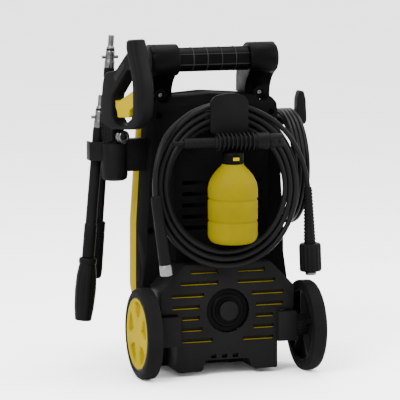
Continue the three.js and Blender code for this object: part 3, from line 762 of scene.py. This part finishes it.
tyre_profile = [(66, 138), (78.4, 138), (79.6, 138.8), (79.9, 140), (79.9, 148), (79.9, 156), (79.4, 158.5),
                (77.5, 161.5), (75, 163.2), (72, 164), (67, 164), (66, 163)]
hub_profile = [(19, 126), (20.2, 126), (20.9, 127), (20.9, 136), (20.9, 146), (20.2, 147), (19, 147)]
for side, name in SIDES:
    body = f"wheel_{name}"
    # The hub's own +Z points outwards along the axle.
    hub = Matrix(((0, 0, side, ORIGIN_X), (side, 0, 0, ORIGIN_Y), (0, 1, 0, AXLE_Z * MM), (0, 0, 0, 1)))
    turned(f"tyre_{name}_look", tyre_profile, hub, body, TYRE, (f"tyre_{name}",), sides=180,
           wave=tread, soft=0.5)
    refined(f"wheel_{name}", BLACK, 0.8, 2)
    turned(f"wheel_hub_{name}", hub_profile, hub, body, BLACK, sides=160, wave=hub_ribs,
           soft=0)
    look_name = f"wheel_cover_{name}_look"
    cover_mesh = grid_mesh(look_name, 66, 240, lambda t, angle: hub @ cover_point(t, angle))
    cover = place(look_name, cover_mesh, body, YELLOW, (f"wheel_cover_{name}",))
    # The pockets' faces take the darker yellow as painted shade.
    paint(cover, POCKET_SHADE, in_shaded_pocket)

# ---------------------------------------------------------------- trigger gun
GUN_X, GUN_Y = -177.0, 99.0
GUN_HALF, TRIGGER_HALF, INLAY_HALF = 15, 8, 15.7
GRIP_SQUARENESS = 0.58

# The gun's own frame: X from its barrel towards its grip, Y up, Z across it.
gun_ahead = Vector((0.371, -0.928, 0)).normalized()
gun_side = gun_ahead.cross(Vector((0, 0, 1)))
gun_matrix = Matrix((
    (gun_ahead.x, 0, gun_side.x, at(GUN_X, GUN_Y, 0).x),
    (gun_ahead.y, 0, gun_side.y, at(GUN_X, GUN_Y, 0).y),
    (gun_ahead.z, 1, gun_side.z, 0),
    (0, 0, 0, 1),
))


def rounded_outline(points, radius):
    """A closed outline with its corners rounded."""
    made = []
    for i, p in enumerate(points):
        corner = Vector(p)
        a = Vector(points[i - 1]) - corner
        b = Vector(points[(i + 1) % len(points)]) - corner
        reach = min(radius, a.length * 0.47, b.length * 0.47)
        made += arc(corner + a.normalized() * reach, corner, corner + b.normalized() * reach, OUTLINE_STEPS)
    return made


def plate_mesh(name, outlines, half, bevel, matrix, resolution=4):
    """A flat plate with rounded edges from closed outlines in mm; later outlines are holes."""
    curve = bpy.data.curves.new(name, "CURVE")
    curve.dimensions = "2D"
    curve.fill_mode = "BOTH"
    curve.extrude = (half - bevel) * MM
    curve.bevel_depth = bevel * MM
    curve.bevel_resolution = resolution
    curve.offset = -bevel * MM
    for outline in outlines:
        add_line(curve, [(p.x * MM, p.y * MM, 0) for p in outline]).use_cyclic_u = True
    trial = bpy.data.objects.new(name, curve)
    bpy.context.scene.collection.objects.link(trial)
    bpy.context.view_layer.update()
    mesh = applied(trial)
    bpy.data.objects.remove(trial)
    bm = bmesh.new()
    bm.from_mesh(mesh)
    bmesh.ops.remove_doubles(bm, verts=bm.verts, dist=SAME_POINT / 2)
    bmesh.ops.recalc_face_normals(bm, faces=bm.faces)
    bm.to_mesh(mesh)
    bm.free()
    mesh.transform(matrix)
    shade(mesh, 40)
    return mesh


GUN_OUTER = [(-15, 407), (-17, 475), (-11, 515), (-4, 530), (26, 536), (60, 571), (78, 560), (82, 540),
             (86, 500), (86, 470), (80, 452), (66, 434.5), (36, 432.5), (22, 431.2), (15, 429.5), (14, 407)]
GUN_ROOM = [(16, 452), (16, 490), (58, 538), (66, 541), (72, 530), (74, 500), (74, 468), (68, 449),
            (56, 441.5), (40, 439.5), (24, 443)]
GUN_LEVER = [(17, 483), (22, 479), (66, 502), (70, 498), (70, 476), (57, 467), (56, 455), (23, 452),
             (22, 462), (17, 470)]
GUN_INLAY = [(25, 519), (23, 524), (48, 550), (55, 549), (53, 543), (30, 517)]
# The grip's middle line with its half depth and half width.
GRIP_LINE = [(65.3, 591.5, 9, 12), (65.5, 589, 12, 15.5), (67.5, 578, 13, 17), (72, 562, 13, 17),
             (79, 541, 13, 17), (84.5, 520, 13, 17), (86.5, 500, 13, 17), (86.5, 478, 13, 17),
             (84, 461, 12.5, 16.5), (76, 449, 10.5, 16), (62, 441.5, 8, 15.5)]


def on_gun(u, z, w):
    return gun_matrix @ Vector((u * MM, z * MM, w * MM))


grip_stations = [Vector(p) for p in GRIP_LINE[:2]] + catmull([Vector(p) for p in GRIP_LINE[2:]], 8)


def squared(value):
    """A sine or cosine pushed outwards, which turns a circle into a rounded square."""
    return math.copysign(abs(value) ** GRIP_SQUARENESS, value)


def grip_point(t, angle):
    last = len(grip_stations) - 1
    i = round(t * last)
    here = grip_stations[i]
    ahead = grip_stations[min(i + 1, last)] - grip_stations[max(i - 1, 0)]
    across_u, across_z = Vector((-ahead.y, ahead.x)).normalized()
    inner = here.z * squared(math.cos(angle))
    return on_gun(here.x + across_u * inner, here.y + across_z * inner, here.w * squared(math.sin(angle)))


def grip_inlay_point(t, angle):
    return on_gun(79.6 - 9.5 * t + 2.2 * math.cos(angle), 558 + 26 * t, 7.5 * math.sin(angle))


barrel_matrix = basis(at(GUN_X, GUN_Y, 352), at(GUN_X, GUN_Y, 420))
barrel_profile = [(0, 0), (13.5, 0), (15, 2), (15, 58.5), (13.5, 60), (0, 60)]
loop = [rounded_outline(GUN_OUTER, 7), rounded_outline(GUN_ROOM, 5)]
gun_parts = [
    plate_mesh("gun_loop", loop, GUN_HALF, 3.6, gun_matrix),
    grid_mesh("gun_grip", len(grip_stations), 48, grip_point),
    lathe_mesh("gun_barrel", soft_profile(barrel_profile), barrel_matrix, 48),
]
for i in range(6):
    u = -12.5 + 4.4 * i
    gun_parts.append(box_mesh("rib", u, 411, -15.9, u + 1.5, 440 - 1.6 * i, 15.9, 0.5, gun_matrix, 2))
place("gun_body_look", joined("gun_body_look", gun_parts), "gun", BLACK, ("gun_body",))
inlay_mesh = plate_mesh("gun_inlay", [rounded_outline(GUN_INLAY, 3)], INLAY_HALF, 0.5, gun_matrix, 2)
place("gun_inlay", inlay_mesh, "gun", INLAY)
place("gun_grip_inlay", grid_mesh("gun_grip_inlay", 9, 24, grip_inlay_point), "gun", INLAY)

lever_mesh = plate_mesh("gun_trigger_look", [rounded_outline(GUN_LEVER, 3)], TRIGGER_HALF, 1.8, gun_matrix)
place("gun_trigger_look", lever_mesh, "trigger", YELLOW, ("gun_trigger",))

inlet_start = at(GUN_X, GUN_Y, 418.5) + gun_ahead * (15.8 * MM)
inlet_axis = basis(inlet_start, inlet_start + gun_ahead * 0.01)
gun_inlet_profile = [(0, 0), (9, 0), (9, 5), (11, 6), (11, 9), (10.3, 9.6), (10.3, 10.4), (11, 11),
                     (11, 17.2), (10.4, 18), (6.4, 18), (6, 17.4), (6, 9), (0, 9)]
turned("gun_inlet_look", gun_inlet_profile, inlet_axis, "gun", STEEL, ("gun_inlet",), sides=48,
       soft=0.3)

# ---------------------------------------------------------------- lances
LANCES = {
    "a": (at(-189.4, 130, 487), at(-225, 130, 85)),
    "b": (at(-160.4, 165, 589.3), at(-192.7, 165, 154.1)),
}
PIN_DOWN, PIN_HALF = 39, 15

connector_profile = [(0, 0), (4.4, 0), (5.3, 1.2), (5.3, 19), (6.2, 21), (7.4, 22), (7.4, 24.6), (6.7, 25),
                     (6.7, 27.4), (7.6, 27.8), (8.2, 29.5), (8.2, 43), (9.2, 48), (9.2, 58), (0, 58)]
pin_profile = [(0, 0), (3, 0), (3, 30), (0, 30)]
ring_profile = [(6.9, 25.0), (7.9, 25.3), (8.1, 26.2), (7.9, 27.1), (6.9, 27.4)]
for key, (top, bottom) in LANCES.items():
    line = basis(top, bottom)
    body = f"lance_{key}"
    middle = line @ Vector((0, 0, PIN_DOWN * MM))
    half_pin = Vector((PIN_HALF * MM, 0, 0))
    pin_line = basis(middle - half_pin, middle + half_pin)
    connector = [
        lathe_mesh("connector", soft_profile(connector_profile, 0.5), line, 48),
        lathe_mesh("pin", soft_profile(pin_profile, 0.6), pin_line, 20),
    ]
    look_name = f"lance_{key}_connector_look"
    place(look_name, joined(look_name, connector), body, STEEL, (f"lance_{key}_connector",))
    place(f"lance_{key}_seal", lathe_mesh("oring", ring_profile, line, 40), body, RUBBER)

lance_a, lance_b = basis(*LANCES["a"]), basis(*LANCES["b"])
tube_a = [(0, 58.3), (9.3, 58.3), (9.8, 59.3), (9.8, 228.5), (10.2, 229.2), (11.3, 231), (11.3, 288.5),
          (10.6, 290), (0, 290)]
tube_b = [(0, 58.3), (9, 58.3), (9.5, 59.3), (9.5, 74.5), (8, 76.5), (8, 333), (0, 333)]
turned("lance_a_tube_look", tube_a, lance_a, "lance_a", BLACK, ("lance_a_tube",), sides=48)
turned("lance_b_tube_look", tube_b, lance_b, "lance_b", BLACK, ("lance_b_tube",), sides=48)

FLUTES_TOP, FLUTES_END = 310, 394


def nozzle_wave(angle, radius, height):
    if not FLUTES_TOP < height < FLUTES_END or radius < 13:
        return radius
    fade = min((height - FLUTES_TOP) / 10, (FLUTES_END - height) / 10, 1)
    return radius - 0.8 * fade * groove(angle, 10, 4)


head_a = [(0, 290.3), (13, 290.3), (14.6, 291), (16, 293), (16, 299.6), (15, 300.6), (14.6, 302), (15, 303)]
swell = [(15, 303), (18, 322), (19, 350), (17.5, 380), (15.5, 396)]
for (r0, h0), (r1, h1) in zip(swell, swell[1:]):
    head_a += [(r0 + (r1 - r0) * k / 6, h0 + (h1 - h0) * k / 6) for k in range(1, 7)]
head_a += [(14.9, 401), (14, 403), (8.6, 403), (8, 402), (7, 390), (0, 390)]
head_b = [(0, 333.3), (10.4, 333.3), (11.4, 334), (12, 335.5), (12, 352), (11.4, 352.8), (11.4, 354.2),
          (12, 355), (12, 424), (11.4, 430), (10.4, 434), (8.5, 435.8), (6, 436.4), (5.4, 435.6), (5, 428),
          (0, 428)]
turned("lance_a_nozzle_look", head_a, lance_a, "lance_a_head", BLACK, ("lance_a_nozzle",),
       sides=100, wave=nozzle_wave, soft=0.4)
turned("lance_b_nozzle_look", head_b, lance_b, "lance_b", BLACK, ("lance_b_nozzle",),
       sides=48)

# ---------------------------------------------------------------- foam nozzle and bottle
FOAM_Y, FOAM_Z = -38.0, 416.0

foam_line = basis(at(0, FOAM_Y, FOAM_Z), at(10, FOAM_Y, FOAM_Z))
foam_inlet_profile = [(0, -109), (3.8, -109), (4.5, -108), (4.5, -103), (3.9, -102.5), (3.9, -100.5),
                      (4.5, -100), (4.5, -89.3), (0, -89.3)]
turned("foam_inlet_look", foam_inlet_profile, foam_line, "foam_gun", BLACK, ("foam_inlet",),
       sides=32, soft=0.3)
body_profile = [(0, -89), (7.4, -89), (8.4, -87.5)]
for i in range(13):
    x = -86 + i * 4.1
    body_profile += [(8.2, x), (9.0, x + 1.0), (9.0, x + 2.2), (8.2, x + 3.2)]
body_profile += [(9.2, -32.5), (10.8, -30.5)]
for i in range(9):
    x = -29 + i * 7.8
    body_profile += [(10.8, x), (15.7, x + 0.2), (16, x + 0.6), (16, x + 2.2), (15.7, x + 2.6),
                     (10.8, x + 2.8)]
body_profile += [(12.5, 41.6), (14.0, 42.2), (14.6, 43.4), (14.6, 63), (13.8, 64), (0, 64)]
turned("foam_body_look", body_profile, foam_line, "foam_gun", BLACK, ("foam_body",),
       sides=56, soft=0)

tip_profile = [(0, 64.3), (11, 64.3), (12.6, 67), (13, 70), (12, 91), (11, 92), (7.6, 92), (7, 91), (7, 78),
               (0, 78)]
tip_mesh = lathe_mesh("foam_tip_look", soft_profile(tip_profile, 0.4), foam_line, 56)
tip = place("foam_tip_look", tip_mesh, "foam_tip", BLACK, ("foam_tip",))
# A slot across the tip's face, cut with a box that is then thrown away.
cutter_mesh = box_mesh("cutter", 80, FOAM_Y - 20, FOAM_Z - 4.5, 96, FOAM_Y + 20, FOAM_Z + 4.5, 0.5)
cutter = bpy.data.objects.new("cutter", cutter_mesh)
bpy.context.scene.collection.objects.link(cutter)
cutting = tip.modifiers.new("slot", "BOOLEAN")
cutting.object = cutter
cutting.operation = "DIFFERENCE"
cutting.solver = "EXACT"
bpy.context.view_layer.update()
slotted = applied(tip)
tip.modifiers.clear()
tip.data = slotted
bpy.data.objects.remove(cutter)

bottle_axis = basis(at(0, FOAM_Y, 0), at(0, FOAM_Y, 10))


def cap_wave(angle, radius, height):
    if radius < 18 or not 379.5 < height < 394:
        return radius
    return radius - 0.5 * groove(angle, 36, 2)


foam_cap_profile = [(0, 378.3), (18.4, 378.3), (19, 379.2), (19, 395), (18, 397.6), (13, 399.5), (9, 400.2),
                    (0, 400.2)]
turned("foam_cap_look", foam_cap_profile, bottle_axis, "foam_gun", DARK, ("foam_cap",),
       sides=144, wave=cap_wave, soft=0.4)
mark_mesh = box_mesh("foam_cap_mark", -5.5, FOAM_Y - 19.6, 385, 5.5, FOAM_Y - 17.5, 390.5, 0.5)
place("foam_cap_mark", mark_mesh, "foam_gun", YELLOW)

bottle_profile = [(0, 241), (22, 240.6), (26, 239.3), (30, 239), (34.5, 240.2), (38.2, 242.6), (41, 246),
                  (42.8, 250), (43.5, 254.5)]
# Two shallow grooves round the bottle.
for z in (274.8, 312.8):
    bottle_profile += [(43.5, z), (42.9, z + 1.5), (41.9, z + 2.7), (41.6, z + 3.7), (41.9, z + 4.7),
                       (42.9, z + 5.9), (43.5, z + 7.4)]
bottle_profile += [(43.5, 333), (43.0, 338.5), (41.2, 345.8), (38, 353), (33.5, 360), (27.5, 367.2),
                   (22, 372.6), (19.3, 376), (18.6, 377.9), (15, 377.9), (15, 374), (30, 360), (38, 344),
                   (40, 334), (40, 252), (35.5, 245), (28, 242.6), (0, 242.8)]
turned("foam_bottle_look", bottle_profile, bottle_axis, "foam_bottle", BOTTLE,
       ("foam_bottle",), sides=96, soft=0, degrees=50)

# ---------------------------------------------------------------- gland, inside parts and plain nodes
gland_matrix = basis(at(GLAND_X, GLAND_Y, 180), at(GLAND_X, GLAND_Y, 216))
gland_profile = [(0, 0), (9.2, 0), (10, 0.8), (10, 11.2), (9.2, 12), (7.4, 13), (6.7, 15.4)]
for i in range(6):
    rise, outer, inner = i * 3.1, 6.6 - i * 0.16, 5.5 - i * 0.08
    gland_profile += [(outer, 16.4 + rise), (outer - 0.05, 18.1 + rise), (inner, 18.4 + rise),
                      (inner, 19.1 + rise)]
gland_profile += [(5.5, 35.2), (5.0, 36), (0, 36)]
boot = lathe_mesh("boot", gland_profile, gland_matrix, 40)
block = box_mesh("block", 127.9, 142, 180.1, GLAND_X, 158, 191.9, 1.0)
place("cable_gland_look", joined("cable_gland_look", [boot, block]), "machine", RUBBER,
      ("cable_gland",))

# The yellow ledges seen at the foot of every slot in the grille: height, nearer end and further end.
LEDGES = ((64, 28, 84), (84, 47, 85), (104, 52, 84), (124, 52, 102), (144.5, 44, 103), (166, 18, 87),
          (186, 19, 68))
LEDGE_BACK, LEDGE_FRONT = -9.2, -8.75
ledges = []
for z, near, far in LEDGES:
    for low, high in ((-far, -near), (near, far)):
        ledges.append(box_mesh("ledge", low + 0.5, LEDGE_BACK, z - 3.7, high - 0.5, LEDGE_FRONT, z - 2.3,
                               0.2, None, 2))
# The ledges' darker yellow is painted shade.
place("grille_ledges", joined("grille_ledges", ledges), "machine", LEDGE_SHADED)

# The grille liner gets the olive painted shade; the other inside parts keep their own colours.
for name, look_as in (("grille_liner", LINER_SHADE), ("motor_housing", MOTOR), ("rotor_shaft", STEEL),
                      ("cooling_fan", DARK), ("wobble_plate", STEEL), ("pump_head", CAST),
                      ("switch_box", BLACK)):
    show_node(name, look_as)

# ---------------------------------------------------------------- floor, light
FLOOR_SIZE = 12
WORLD_STRENGTH = 3.0


def white_floor():
    made = bpy.data.materials.new("floor_white")
    made.use_nodes = True
    tree = made.node_tree
    shader = tree.nodes["Principled BSDF"]
    shader.inputs["Roughness"].default_value = 0.6
    fac = noise(tree, 3.0, 2.0, 0.5)
    colour = mix_colour(tree, (0.90, 0.90, 0.89), (0.93, 0.93, 0.92), fac, (0.3, 0.7))
    tree.links.new(colour, shader.inputs["Base Color"])
    return made


bm = bmesh.new()
bmesh.ops.create_grid(bm, x_segments=1, y_segments=1, size=FLOOR_SIZE)
floor_mesh = freed(bm, "floor")
floor = bpy.data.objects.new("floor", floor_mesh)
bpy.context.scene.collection.objects.link(floor)
floor_mesh.materials.append(white_floor())

world = bpy.data.worlds.new("studio")
bpy.context.scene.world = world
world.use_nodes = True
background = world.node_tree.nodes["Background"]
background.inputs["Color"].default_value = (1, 1, 1, 1)
background.inputs["Strength"].default_value = WORLD_STRENGTH


def area(name, location, size, power):
    """A rectangular light that looks at the machine's middle."""
    light = bpy.data.lights.new(name, "AREA")
    light.shape = "RECTANGLE"
    light.size, light.size_y = size
    light.energy = power
    made = bpy.data.objects.new(name, light)
    bpy.context.scene.collection.objects.link(made)
    made.location = location
    made.rotation_euler = (Vector((0, 0, 0.3)) - Vector(location)).to_track_quat("-Z", "Y").to_euler()


area("key", (-1.6, -1.6, 2.2), (1.2, 1.2), 190)
area("top", (0.2, 0.2, 2.6), (1.6, 1.6), 110)
area("right", (2.0, -0.8, 1.2), (0.8, 1.2), 55)
